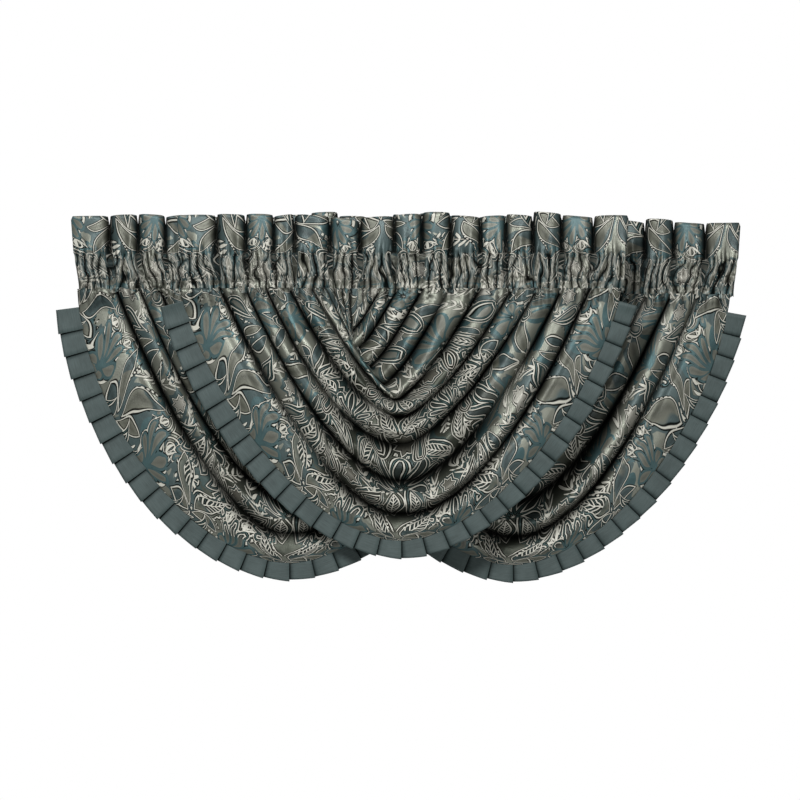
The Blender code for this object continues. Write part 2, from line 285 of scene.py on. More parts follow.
def makeJacquard(name):
    s = jacquardSettings
    material, tree, shader = newMaterial(name)
    shapes = {"place": figurePlace(), "leaf": pointedLeaf(), "drop": curledDrop(), "fan": rayFan(),
              "curl": scrollCurl()}

    # cloth coordinates in mm, drawn a little off their plan as by hand
    flat = clothInMm(tree)
    drift = addNode(tree, "ShaderNodeTexNoise", flat, None, 0.011, 0.0, noise_dimensions="2D")
    centred = vectorMaths(tree, "SUBTRACT", drift.outputs["Color"], (0.5, 0.5, 0.5))
    wander = vectorMaths(tree, "SCALE", centred, None, None, s["wander"] * 2)
    cloth = vectorMaths(tree, "ADD", flat, wander)
    width, height = s["repeat"]
    corner = (width / 2, height / 2, 1)
    cell = vectorMaths(tree, "WRAP", cloth, corner, [-size for size in corner])
    cellParts = addNode(tree, "ShaderNodeSeparateXYZ", cell)
    side = maths(tree, "ABSOLUTE", cellParts.outputs[0])
    half = addNode(tree, "ShaderNodeCombineXYZ", side, cellParts.outputs[1])

    def place(x, y, lean):
        return addNode(tree, "ShaderNodeGroup", half, (x, y, 0), lean, node_tree=shapes["place"])

    def figure(shape, at, *sizes):
        return addNode(tree, "ShaderNodeGroup", at.outputs[0], at.outputs[1], *sizes, node_tree=shapes[shape])

    def lowest(sockets):  # the nearest of several distances
        result = sockets[0]
        for socket in sockets[1:]:
            result = maths(tree, "MINIMUM", result, socket)
        return result

    def hiddenBy(line, cover):  # a line that passes under what covers it
        under = maths(tree, "MULTIPLY", cover, -1.0)
        return maths(tree, "MAXIMUM", line, under)

    def outline(outside, cover=None):  # distance from an edge, on either side of it
        line = maths(tree, "ABSOLUTE", outside)
        return hiddenBy(line, cover) if cover else line

    # shells of round lobes, shorter towards their sides
    sprays = []
    for x, y, lean, step, length, halfWidth in s["shells"]:
        at = place(x, y, lean)
        fan = figure("fan", at, at.outputs["Reach"], step)
        upright = maths(tree, "COSINE", fan.outputs["Ray"])
        longer = maths(tree, "MULTIPLY_ADD", upright, length * 0.40, length * 0.60)
        fromTip = maths(tree, "SUBTRACT", longer, fan.outputs["Up"])
        sprays.append(addNode(tree, "ShaderNodeGroup", fan.outputs["Across"], fromTip, longer, halfWidth, 0.0,
                              node_tree=shapes["drop"]))
    drops = [figure("drop", place(x, y, lean), *sizes) for x, y, lean, *sizes in s["drops"]]
    leaves = [figure("leaf", place(x, y, lean), *sizes) for x, y, lean, *sizes in s["leaves"]]
    flowers = []
    for x, y, step, size in s["flowers"]:
        at = place(x, y, 0.0)
        fan = figure("fan", at, at.outputs["Reach"], step)
        flowers.append(figure("drop", fan, size, size * 0.34, 0.0))
        flowers.append(maths(tree, "SUBTRACT", at.outputs["Reach"], size * 0.32))
    x, y, pitch, size = s["curl"]
    curlPlace = place(x, y, 0.0)
    curl = figure("curl", curlPlace, curlPlace.outputs["Reach"], pitch, size)

    def leafRow(across, up, step):  # small leaves in pairs along a stem
        away = maths(tree, "ABSOLUTE", across)
        nearest = maths(tree, "WRAP", up, step, 0.0)
        slanted = maths(tree, "MULTIPLY_ADD", away, -0.9, nearest)
        small = addNode(tree, "ShaderNodeGroup", slanted, away, *s["rowLeaf"], node_tree=shapes["leaf"])
        return lowest([maths(tree, "ADD", away, 0.3), small])

    # a stem that waves up the cloth and a chain of beads beside it
    phase = maths(tree, "MULTIPLY", cellParts.outputs[1], s["swayTurn"])
    sway = maths(tree, "SINE", phase)
    middle, swing, step = s["stem"]
    stemMiddle = maths(tree, "MULTIPLY_ADD", sway, swing, middle)
    stem = leafRow(maths(tree, "SUBTRACT", side, stemMiddle), cellParts.outputs[1], step)
    middle, swing, step, radius = s["chain"]
    chainMiddle = maths(tree, "MULTIPLY_ADD", sway, swing, middle)
    chainOff = maths(tree, "SUBTRACT", side, chainMiddle)
    beadStep = maths(tree, "WRAP", cellParts.outputs[1], step, -step)
    bead = vectorMaths(tree, "LENGTH", addNode(tree, "ShaderNodeCombineXYZ", chainOff, beadStep))
    beads = maths(tree, "SUBTRACT", bead.outputs["Value"], radius)
    # a filling of sprigs and round eyes, each turned its own way, with some places left plain
    scatter = addNode(
        tree, "ShaderNodeTexVoronoi", cloth, None, s["filling"], voronoi_dimensions="2D", feature="F1")
    scatter.inputs["Randomness"].default_value = 0.8
    chance = addNode(tree, "ShaderNodeSeparateColor", scatter.outputs["Color"])
    spin = maths(tree, "MULTIPLY", chance.outputs[0], math.tau)
    filler = addNode(
        tree, "ShaderNodeGroup", cloth, scatter.outputs["Position"], spin, node_tree=shapes["place"])
    step, reach = s["sprig"]
    twig = leafRow(filler.outputs[0], filler.outputs[1], step)
    twigEnd = maths(tree, "SUBTRACT", filler.outputs["Reach"], reach)
    twigKept = maths(tree, "MAXIMUM", twig, twigEnd)
    pitch, size, radius = s["eye"]
    eyeCurl = figure("curl", filler, filler.outputs["Reach"], pitch, size)
    isEye = maths(tree, "GREATER_THAN", chance.outputs[1], s["eyesFrom"])
    plain = remap(tree, chance.outputs[2], s["plainFrom"], s["plainFrom"] + 0.01, 0.0, 30.0)
    picked = addNode(tree, "ShaderNodeMix", isEye, None, twigKept, eyeCurl)
    fillerLine = maths(tree, "ADD", picked, plain)
    notEye = remap(tree, isEye, 0.0, 1.0, 60.0, -radius)
    eye = maths(tree, "ADD", filler.outputs["Reach"], notEye)

    spray, drop, leaf = lowest(sprays), lowest(drops), lowest(leaves)
    flower = lowest(flowers)
    overLeaf = lowest([drop, flower])
    overSpray = lowest([overLeaf, leaf])
    everything = lowest([overSpray, spray])
    inner = maths(tree, "ADD", drop, s["innerLine"])
    heart = maths(tree, "ADD", drop, s["heartLine"])
    ribs = lowest([n.outputs["Rib"] for n in leaves])
    veins = lowest([n.outputs["Vein"] for n in leaves])
    innerSpray = maths(tree, "ADD", spray, s["innerLine"])
    echo = maths(tree, "ADD", everything, -s["echo"])

    # the dark middle of the swag, where the ground is charcoal and the outlines are doubled
    clothParts = addNode(tree, "ShaderNodeSeparateXYZ", cloth)
    patch = addNode(tree, "ShaderNodeTexNoise", cloth, None, 0.0075, 2.0, noise_dimensions="2D")
    fromMiddle = maths(tree, "ABSOLUTE", clothParts.outputs[0])
    ragged = maths(tree, "MULTIPLY_ADD", patch, 240.0, fromMiddle)
    near = remap(tree, ragged, s["darkReach"], s["darkReach"] - 40.0, 0.0, 1.0)
    up = clothParts.outputs[1]
    above = remap(tree, up, s["darkHem"], s["darkHem"] + 30.0, 0.0, 1.0)
    below = remap(tree, up, s["darkTop"], s["darkTop"] - 40.0, 0.0, 1.0)
    band = maths(tree, "MULTIPLY", near, above)
    zone = maths(tree, "MULTIPLY", band, below)
    farther = remap(tree, zone, 0.3, 0.5, 30.0, 0.0)
    bare = remap(tree, patch, 0.47, 0.50, 0.0, 30.0)     # where shells have no outline
    bareLight = maths(tree, "MINIMUM", bare, farther)
    doubled = lowest([hiddenBy(ribs, overLeaf), hiddenBy(veins, overLeaf), outline(innerSpray, overSpray),
                      outline(heart, flower), outline(echo)])
    lines = lowest([
        maths(tree, "ADD", doubled, farther),
        maths(tree, "ADD", outline(spray, overSpray), bareLight),
        outline(leaf, overLeaf), outline(drop, flower), outline(flower), outline(inner, flower),
        hiddenBy(curl, everything), hiddenBy(stem, everything), hiddenBy(beads, everything),
        hiddenBy(fillerLine, echo)])
    core = remap(tree, lines, s["lineHalf"] + 0.4, s["lineHalf"] - 0.4, 0.0, 1.0)
    dark = remap(tree, lines, s["shadowHalf"] + 0.6, s["shadowHalf"] - 0.6, 0.0, 0.95)

    def tone(key):
        light, deep = s[key]
        return blend(tree, zone, linear(light), linear(deep))

    # the colours, from the ground up, each figure darker towards its middle; the slate round the
    # figures reaches a little farther in the headings, whose cloth coordinates start at 5 m
    slateStretch = remap(tree, clothParts.outputs[0], 4000.0, 4100.0, 64.0, 72.0)
    spread = maths(tree, "MULTIPLY_ADD", patch, -110.0, slateStretch)
    haloEdge = maths(tree, "SUBTRACT", everything, spread)
    halo = remap(tree, haloEdge, 1.0, -1.0, 0.0, 1.0)
    slatePart = remap(tree, patch, 0.49, 0.51, 0.0, 1.0)
    colour = blend(tree, halo, tone("ground"), tone("halo"))
    leafTone = blend(tree, slatePart, tone("leaf"), tone("halo"))
    within = maths(tree, "ADD", spray, 7.5)
    for tint, outside in (
            (tone("spray"), eye), (tone("spray"), spray), (tone("within"), within), (leafTone, leaf),
            (tone("drop"), drop), (tone("heart"), heart), (tone("flower"), flower)):
        inside = maths(tree, "LESS_THAN", outside, 0.0)
        colour = blend(tree, inside, colour, tint)
    depth = remap(tree, everything, -3.0, -14.0, 0.0, 0.45)
    colour = blend(tree, depth, colour, linear(s["shadow"]))
    colour = blend(tree, dark, colour, linear(s["shadow"]))
    colour = blend(tree, core, colour, linear(s["line"]))
    dull = maths(tree, "SUBTRACT", dark, core)
    shadeFolds(tree, shader, colour, dull)

    # the ground is all satin floats, the figures less so, and the cream and dark threads hardly at all
    figureShare = remap(tree, haloEdge, 1.0, -1.0, s["shine"], s["shine"] * 0.5)
    threadShare = maths(tree, "MULTIPLY_ADD", dark, -0.9, 1.0)
    shine = maths(tree, "MULTIPLY", figureShare, threadShare)
    tree.links.new(shine.outputs[0], shader.inputs["Metallic"])
    shader.inputs["Roughness"].default_value = s["roughness"]

    # relief: raised cream threads over the fine twill of the weave
    twill = addNode(tree, "ShaderNodeTexWave", flat, 1.0 / s["thread"] * 0.31, 0.6, 1.0,
                    wave_type="BANDS", bands_direction="DIAGONAL")
    raised = maths(tree, "MULTIPLY_ADD", core, 1.0, twill)
    addRelief(tree, shader, raised, *s["relief"])
    return material


# The jacquard's back, where the floats are hidden: dull, its figures faint.
reverseSettings = {
    "ground": "#6b685f",
    "figure": "#5d605b",
    "twill": 0.24,
    "roughness": 0.75,
    "relief": (0.3, 0.0005),
}


def makeReverse(name):
    s = reverseSettings
    material, tree, shader = newMaterial(name)
    flat = clothInMm(tree)
    cloud = addNode(tree, "ShaderNodeTexNoise", flat, None, 0.018, 1.0, noise_dimensions="2D")
    faint = remap(tree, cloud, 0.35, 0.65, 0.0, 1.0)
    twill = addNode(
        tree, "ShaderNodeTexWave", flat, s["twill"], 0.5, 1.0, wave_type="BANDS", bands_direction="DIAGONAL")
    colour = blend(tree, faint, linear(s["ground"]), linear(s["figure"]))
    tree.links.new(colour.outputs[0], shader.inputs["Base Color"])
    shader.inputs["Roughness"].default_value = s["roughness"]
    addRelief(tree, shader, twill.outputs["Fac"], *s["relief"])
    return material


# Polyester faille: a matt plain cloth with a fine rib across its width.
failleSettings = {
    "light": "#475655",
    "deep": "#394746",
    "rib": 1.6,             # mm, coarser than the real 0.5 mm so that it shows
    "roughness": 0.62,
    "relief": (0.35, 0.0005),
}


def makeFaille(name):
    s = failleSettings
    material, tree, shader = newMaterial(name)
    flat = clothInMm(tree)
    cloud = addNode(tree, "ShaderNodeTexNoise", flat, None, 0.02, 3.0, noise_dimensions="2D")
    stretched = vectorMaths(tree, "MULTIPLY", flat, (0.05, 1.0, 1.0))
    slub = addNode(tree, "ShaderNodeTexNoise", stretched, None, 0.6, 2.0, noise_dimensions="2D")
    ribs = addNode(
        tree, "ShaderNodeTexWave", flat, 0.31 / s["rib"], 0.4, 1.0, wave_type="BANDS", bands_direction="Y")
    both = maths(tree, "ADD", cloud, slub)
    level = remap(tree, both, 0.75, 1.25, 0.0, 1.0)
    colour = blend(tree, level, linear(s["deep"]), linear(s["light"]))
    shadeFolds(tree, shader, colour, 0.0)
    shader.inputs["Roughness"].default_value = s["roughness"]
    height = maths(tree, "MULTIPLY_ADD", slub, 0.8, ribs.outputs["Fac"])
    addRelief(tree, shader, height, *s["relief"])
    return material


satinJacquard = makeJacquard("satinJacquard")
jacquardReverse = makeReverse("jacquardReverse")
ribbedFaille = makeFaille("ribbedFaille")
print("materials made")

# The panels: the swagged cloth.
panelSettings = {
    "seam": -0.0495,        # the panel's top, tucked up behind the heading's lower edge
    "seamForward": 0.003,
    "billow": 0.007,        # the whole panel swells forward towards its lowest point
    "seamShare": 0.42,      # how deep the folds are at the seam, of their full depth
    "swellBy": 0.22,        # the share of the way in from the seam where they reach it
    "apexLoss": 0.20,       # how much shallower they are at the swag's middle
    "valley": 0.95,         # how nearly a valley comes back to the wall
    "droop": 0.010,         # how far a crest of full depth hangs out over the valley below it
    "fullDepth": 0.050,
    "slack": (0.90, 0.75),  # how much of a valley is pulled in, and how much that varies along it
    "leastSlack": 0.45,
    "shade": 0.98,          # painted shade of the deepest valleys
    "tip": 0.012,           # how round each fold's lowest point is
    "stray": 0.0022,        # how far a crest strays from its line
    "seamUneven": 0.007,    # how unevenly its top is tucked up
    "halfWidth": 0.532,     # the measure that the folds below are given in
    "drop": 0.608,
    "innermostWhole": 5,    # the last fold whose two branches hang evenly
    "clothWidth": 1.24,     # what the cloth's measure along each crest is evened towards
    "columns": 240,
    "rows": (20, 18, 18, 18, 18, 14, 12, 12, 10, 10, 8),
    "thickness": 0.0012,
}

# The crests of the folds, outermost first: where each leaves the seam on the left and right, its
# lowest point across and down, how bowed each branch is, and how far each branch stands out.
folds = (
    (-0.532, 0.532, 0.000, 0.608, 0.56, 0.56, 0.014, 0.014),
    (-0.472, 0.492, 0.000, 0.578, 0.56, 0.56, 0.030, 0.030),
    (-0.399, 0.419, 0.000, 0.508, 0.61, 0.52, 0.050, 0.050),
    (-0.353, 0.358, 0.000, 0.419, 0.56, 0.66, 0.050, 0.052),
    (-0.298, 0.302, -0.002, 0.332, 0.52, 0.66, 0.053, 0.053),
    (-0.240, 0.235, -0.006, 0.283, 0.73, 0.70, 0.058, 0.054),
    (-0.191, 0.148, -0.024, 0.250, 0.82, 0.78, 0.032, 0.050),
    (-0.172, 0.087, -0.060, 0.208, 0.84, 0.82, 0.022, 0.050),
    (-0.154, 0.017, -0.094, 0.169, 0.84, 0.84, 0.020, 0.044),
    (-0.135, -0.032, -0.121, 0.126, 0.84, 0.84, 0.024, 0.040),
    (-0.114, -0.066, -0.112, 0.072, 0.84, 0.84, 0.014, 0.030),
    (-0.096, -0.088, -0.092, 0.004, 0.70, 0.70, 0.006, 0.006),
)


def linePoint(valance, i, across):  # a point (x, down) of fold i, across from -1 at the left seam to 1
    left, right, apex, drop, bowLeft, bowRight = folds[i][:6]
    square, bow = (valance["square"], valance["bow"]) if i == 0 else (1.0, bowLeft if across < 0 else bowRight)
    rest = across * across
    if i:
        tip = panelSettings["tip"]
        rest = (math.hypot(rest, tip) - tip) / (math.hypot(1, tip) - tip)
    fallen = 1 - rest
    out = max(0.0, 1 - (1 - across * across) ** square) ** bow
    uneven = wave(across * 5, i * 3.7, valance["seed"]) * (1 - across**6)
    stray = panelSettings["stray"] * uneven if i else 0.0
    scale = valance["half"] / panelSettings["halfWidth"]
    down = drop * valance["drop"] / panelSettings["drop"]
    return mix(apex, left if across < 0 else right, out) * scale + stray, fallen * down


# Gathered cloth, at the seams and in the pockets: plump folds, finer ones on them, and crumpling.
gatherSettings = {
    "pitch": 0.0235,
    "finePitch": 0.0110,
    "depth": 0.0125,
    "fineDepth": 0.0028,
    "crumpleDepth": 0.0045,
    "sunk": 0.002,          # how far a crease lies behind the smooth cloth
    "crest": 0.45,          # how much a painted highlight lightens the plump parts
    "hidden": 0.022,        # the cloth that each crease takes in
}


def gather(x, z, seed):  # how far it stands forward, its painted shade near a crease (below 0, a painted highlight on a plump part), and the cloth's shift
    g = gatherSettings
    phase = x / g["pitch"] + 1.1 * wave(x * 13, z * 12, seed) + 0.45 * wave(x * 45, z * 30, seed + 5)
    finePhase = x / g["finePitch"] + 0.9 * wave(x * 30, z * 40, seed + 13)
    size = 0.8 + 0.6 * wave(x * 26, z * 16, seed + 9)
    broad, fine = abs(math.sin(math.pi * phase)), abs(math.sin(math.pi * finePhase))
    crumple = abs(wave(x * 42 + z * 25, z * 46, seed + 2))
    depth = g["depth"] * size * broad**0.55 + g["fineDepth"] * fine**0.6
    depth += g["crumpleDepth"] * min(1.0, crumple / 0.25)
    # painted shade in and beside the creases
    broadCrease = 1 - smooth((broad - 0.16) / 0.32)
    fineCrease = 0.8 * (1 - smooth(fine / 0.24)) * smooth(wave(x * 20, z * 30, seed + 33) + 0.6)
    crease = max(broadCrease, fineCrease, 0.8 * (1 - smooth(crumple / 0.05)))
    if crease < 0.05:
        # elsewhere a painted highlight on the plump parts
        crease = -g["crest"] * smooth((broad - 0.50) / 0.40) * smooth(0.9 + wave(x * 50, z * 40, seed + 21))
    return depth - g["sunk"], crease, g["hidden"] * (phase - math.floor(phase) - 0.5)


def tube(share, along):  # the folds' section between two crests: round and close at the top, sharper below
    inward = 1 - abs(2 * share - 1)
    low = smooth(along * 1.15)
    return max(0.0, 1 - inward ** mix(2.4, 1.25, low)) ** mix(0.55, 1.05, low)


def rowShare(i, row):  # how far row lies between folds i and i + 1, with the rows closer in the valley
    rows = panelSettings["rows"][i]
    if i == 0 or i == len(folds) - 2:
        return row / rows
    t = 2 * row / rows - 1
    return 0.5 + 0.5 * math.copysign(abs(t) ** 1.5, t)


def crestHang(lines, stand, along):  # how far each crest hangs out over the valley below it
    hang = [(0.0, 0.0)]
    for i in range(1, len(folds) - 1):
        dx, dz = lines[i - 1][0] - lines[i + 1][0], lines[i - 1][1] - lines[i + 1][1]
        full = panelSettings["droop"] * smooth(along * 1.5) * stand[i] / panelSettings["fullDepth"]
        size = full / max(1e-6, math.hypot(dx, dz))
        hang.append((dx * size, dz * size))
    return hang + [(0.0, 0.0)]


def foldSection(valance, i, share, across, near, far):  # how far out, how near a crest, and its painted shade
    p = panelSettings
    along = 1 - abs(across)
    if i == 0:      # the hem's own band
        return mix(near, far, math.sin(math.pi / 2 * share)), share**2, 0.0
    if i == len(folds) - 2:
        return mix(near, far, smooth(share)), 1 - share, 0.0
    held = tube(share, along)
    level, sway = p["slack"]
    slack = level + sway * wave(across * 2.6 + 9, i * 2.3, valance["seed"] + 80)
    slack = min(1.0, max(p["leastSlack"], slack))
    height = mix(near, far, share) * (1 - p["valley"] * slack * (1 - held))
    inward, opened = 1 - abs(2 * share - 1), smooth(along * 1.6)
    dim = mix(0.62, 0.40, opened) if i > 1 else mix(0.55, 0.28, opened)     # where the painted shade starts
    shade = p["shade"] * smooth(slack * 1.1) * smooth((inward - dim) / (0.97 - dim)) ** mix(1.3, 1.1, opened)
    return height, held, shade


def panelColumn(valance, across):  # the mid-surface points down one column, hem first
    p = panelSettings
    along = 1 - abs(across)
    lines = [linePoint(valance, i, across) for i in range(len(folds))]
    swell = mix(p["seamShare"], 1.0, smooth(along / p["swellBy"])) * (1 - p["apexLoss"] * along**2)
    stand = [mix(fold[6], fold[7], smooth(0.5 + across * 2.5)) for fold in folds]
    hang = crestHang(lines, stand, along)
    points, shades = [], []
    for i, rows in enumerate(p["rows"]):
        for row in range(rows + (i == len(folds) - 2)):
            share = rowShare(i, row)
            height, held, shade = foldSection(valance, i, share, across, stand[i], stand[i + 1])
            x = mix(lines[i][0], lines[i + 1][0], share) + held * mix(hang[i][0], hang[i + 1][0], share)
            down = mix(lines[i][1], lines[i + 1][1], share) + held * mix(hang[i][1], hang[i + 1][1], share)
            tucked = p["seamUneven"] * abs(wave(x * 60, 0.3, valance["seed"])) * (1 - smooth(down / 0.012))
            z = p["seam"] - valance["lower"] - max(0.0, down) + tucked
            depth = p["seamForward"] + p["billow"] * along + swell * height
            fade = 1 - smooth((down - 0.008) / 0.050)
            rippled, crease = gather(valance["centre"] + x, p["seam"], valance["seed"])[:2]
            depth += fade * rippled
            soft = smooth(down / 0.03) * (0.35 if i == 0 and share < 0.1 else 1.0)
            depth += soft * 0.0016 * wave(across * 14, (i + share) * 1.9, valance["seed"] + 40)
            depth += soft * 0.0007 * wave(x * 60, z * 60, valance["seed"] + 60)
            points.append(Vector((valance["centre"] + x, valance["layer"] - depth, z)))
            # painted shade in the valleys and in the gathers' creases along the seam
            shades.append(max(shade, crease * fade * 0.85))
    return points, shades


def finishPiece(name, bm, materials, thickness, node):
    mesh = bpy.data.meshes.new(name)
    bm.to_mesh(mesh)
    bm.free()
    mesh.shade_smooth()
    for material in materials:
        mesh.materials.append(material)
    piece = bpy.data.objects.new(name, mesh)
    bpy.context.scene.collection.objects.link(piece)
    wall = piece.modifiers.new("thickness", "SOLIDIFY")
    wall.thickness = thickness
    wall.offset = 0.0
    wall.material_offset = len(materials) - 1
    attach(piece, "root")
    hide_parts(node)
    return piece


def layGrid(columns, clothUv, shades, turned=False):  # a grid laid over rows of points
    across, up = len(columns) - 1, len(columns[0]) - 1
    bm = bmesh.new()
    bmesh.ops.create_grid(bm, x_segments=across, y_segments=up, size=1.0)
    cloth = bm.loops.layers.uv.new("cloth")
    for face in bm.faces:
        for loop in face.loops:
            i, j = round((loop.vert.co.x + 1) / 2 * across), round((loop.vert.co.y + 1) / 2 * up)
            loop[cloth].uv = clothUv[i][j]
    fold = bm.verts.layers.float.new("fold")        # painted shade deep in a fold, and below 0 a painted highlight on a crest
    for vert in bm.verts:
        i, j = round((vert.co.x + 1) / 2 * across), round((vert.co.y + 1) / 2 * up)
        vert.co = columns[i][j]
        vert[fold] = shades[i][j]
    if turned:
        bmesh.ops.reverse_faces(bm, faces=bm.faces)
    return bm


def makePanel(name, valance):
    p = panelSettings
    laid = [panelColumn(valance, -1 + 2 * i / p["columns"]) for i in range(p["columns"] + 1)]
    columns, shades = (list(part) for part in zip(*laid))
    starts = [sum(p["rows"][:k]) for k in range(len(folds))]
    middle = p["columns"] // 2
    reach = [[0.0] * len(folds) for column in columns]      # along each crest, out from the middle
    for order in (range(middle - 1, -1, -1), range(middle + 1, len(columns))):
        for i in order:
            inward = i + 1 if i < middle else i - 1
            for k, start in enumerate(starts):
                reach[i][k] = reach[inward][k] + (columns[i][start] - columns[inward][start]).length
    ends = [(reach[0][k], reach[-1][k]) for k in range(len(folds))]
    evened = [(p["clothWidth"] / max(0.1, sum(pair))) ** 0.15 for pair in ends]
    whole = p["innermostWhole"]

    def along(i, k):  # the cloth's own measure along crest k, the innermost ones matched at the right seam
        out = math.copysign(reach[i][k], i - middle)
        return out * evened[k] if k <= whole else ends[whole][1] * evened[whole] - ends[k][1] + out

    runs = [[0.0] for column in columns]      # down each column, from the hem
    for column, run in zip(columns, runs):
        for a, b in zip(column, column[1:]):
            run.append(run[-1] + (b - a).length)
    rises = [0.0]       # the same at each crest, averaged over the columns away from the seams
    inner = runs[20:-20]
    for k in range(len(folds) - 1):
        rises.append(rises[-1] + sum(run[starts[k + 1]] - run[starts[k]] for run in inner) / len(inner))
    clothUv = []
    for i, run in enumerate(runs):
        uvs = []
        for k, rows in enumerate(p["rows"]):
            low, high = run[starts[k]], run[starts[k + 1]]
            for row in range(rows + (k == len(p["rows"]) - 1)):
                share = rowShare(k, row)
                turn = smooth(share) if k == 0 else smooth((share - 0.5) / 0.24 + 0.5)
                risen = (run[starts[k] + row] - low) / max(1e-6, high - low)
                uvs.append((mix(along(i, k), along(i, k + 1), turn), mix(rises[k], rises[k + 1], risen)))
        clothUv.append(uvs)
    panel = finishPiece(name + "Panel", layGrid(columns, clothUv, shades), (satinJacquard, jacquardReverse),
                        p["thickness"], name + "_panel")
    return columns


# The headings: fluted header and rod pocket.
headingSettings = {
    "pinch": 0.033,         # the stitched line between header and pocket, above the rod's axis
    "seam": -0.052,
    "bulge": 0.0165,        # half the depth of the pocket
    "tabBack": 0.015,       # how far back the header folds in between two flutes
    "tilt": 0.010,          # of a flute's top edge
    "uneven": 0.004,
    "cornerDip": 0.020,     # how far the top edge drops where it folds in
    "scallop": 0.009,       # how far the pocket's lower edge is drawn up at each gather
    "scallopPitch": 0.046,
    "pull": 0.34,           # how much narrower each flute is at the stitching
    "columns": 760,
    "backRows": (12, 8),    # rows up the pocket and up the header
    "frontRows": (22, 14),
    "thickness": 0.0009,
    "layers": 0.0016,       # half the gap between the header's two layers
    "clothStart": (5.0, 0.13),      # where its cloth starts, clear of the panel's figures
    "measuredRows": (24, 30),       # where the cloth is measured across, on the header's front
}

# The flutes of the header, left to right: face width, how far it stands forward, its top edge.
flutes = (
    (0.0945, 0.006, 0.126), (0.0705, 0.012, 0.128), (0.0680, 0.009, 0.129), (0.0490, 0.005, 0.127),
    (0.0865, 0.007, 0.126), (0.0725, 0.012, 0.118), (0.0830, 0.006, 0.122), (0.0670, 0.008, 0.128),
    (0.0690, 0.014, 0.134), (0.0720, 0.007, 0.125), (0.0610, 0.004, 0.125), (0.0655, 0.008, 0.127),
    (0.0695, 0.014, 0.132), (0.0765, 0.007, 0.125), (0.0845, 0.005, 0.125),
)


def fluteAt(valance, x):  # the flute at x from the valance's middle, and how far across it, 0 to 1
    left, right = valance["ends"]
    spread = (right - left) / sum(flute[0] for flute in flutes)
    start = left
    for i, flute in enumerate(flutes):
        end = start + flute[0] * spread
        if x <= end or i == len(flutes) - 1:
            return i, min(1.0, max(0.0, (x - start) / (end - start))), start, end
        start = end


